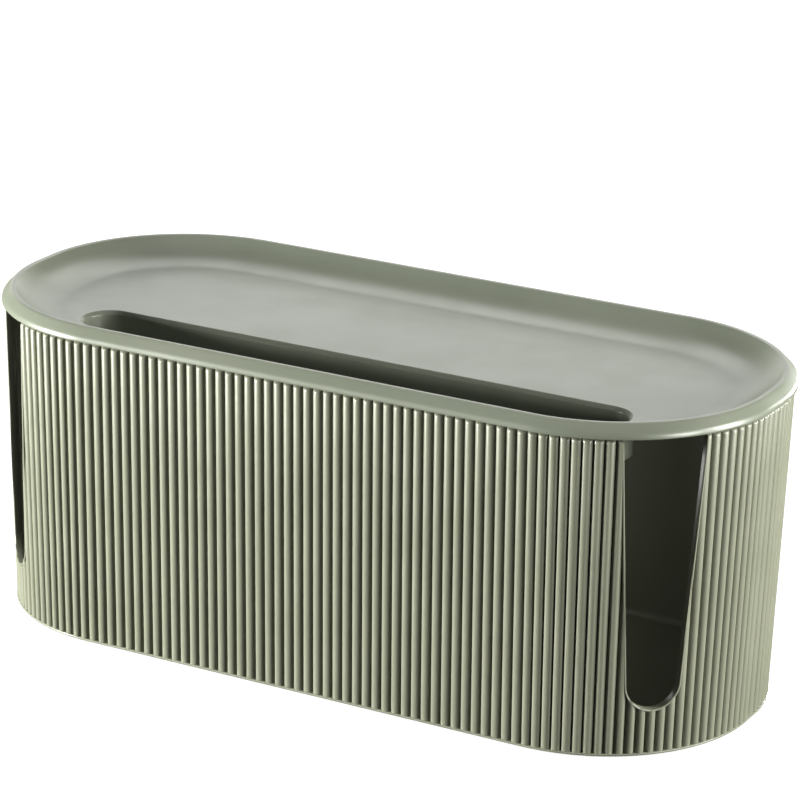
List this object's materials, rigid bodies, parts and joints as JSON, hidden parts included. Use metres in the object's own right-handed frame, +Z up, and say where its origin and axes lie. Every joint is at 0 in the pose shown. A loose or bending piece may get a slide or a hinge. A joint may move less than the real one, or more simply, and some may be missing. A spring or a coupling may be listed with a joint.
{
  "type": "cable management box",
  "caption": "Long round-ended box with a fluted drafted wall, tapered U cable notches at the front corners and a lift-off tray lid with a slot trough, on rubber pads.",
  "frame": {"origin": "on the surface the box stands on, under the middle of the box", "axes": "+X along the length, -Y towards the front with the two cable notches and the lid's slot, +Z up"},
  "size_m": [0.32, 0.1424, 0.1292],
  "materials": {
    "shell_plastic": "satin sage-green moulded plastic",
    "lid_plastic": "satin sage-green moulded plastic",
    "foot_rubber": "matt black anti-slip rubber"
  },
  "bodies": {
    "box": {"box_shell": "shell_plastic", "foot_front_left": "foot_rubber", "foot_front_right": "foot_rubber", "foot_rear_left": "foot_rubber", "foot_rear_right": "foot_rubber"},
    "lid": {"lid": "lid_plastic"}
  },
  "joints": [
    {"name": "lid_lift", "type": "slide", "parent": "box", "child": "lid", "axis": [0, 0, 1], "range_m": [0, 0.08]}
  ]
}
